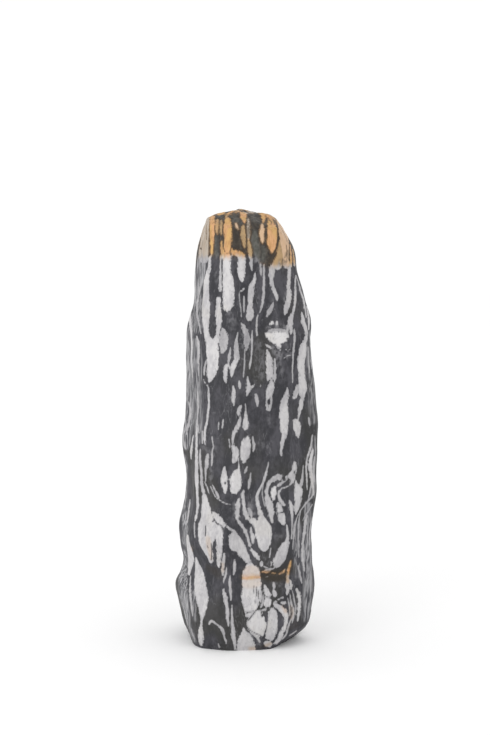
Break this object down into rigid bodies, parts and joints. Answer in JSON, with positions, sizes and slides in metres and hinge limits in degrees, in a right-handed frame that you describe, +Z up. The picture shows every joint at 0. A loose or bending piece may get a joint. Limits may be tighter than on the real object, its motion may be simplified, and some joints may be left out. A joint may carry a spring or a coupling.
{
  "type": "marble garden monolith",
  "caption": "Tall free-standing column of dark grey and white banded marble with an ochre-stained top, dressed smooth and wavy, with a flat sawn foot.",
  "frame": {"origin": "on the ground, under the middle of the stone's box", "axes": "+Z up the stone, +X to the right of someone facing its front, and the front looks along -Y"},
  "size_m": [0.3324, 0.2738, 1.0013],
  "materials": {
    "banded_marble": "satin"
  },
  "bodies": {
    "root": {"monolith": "banded_marble"}
  },
  "joints": []
}
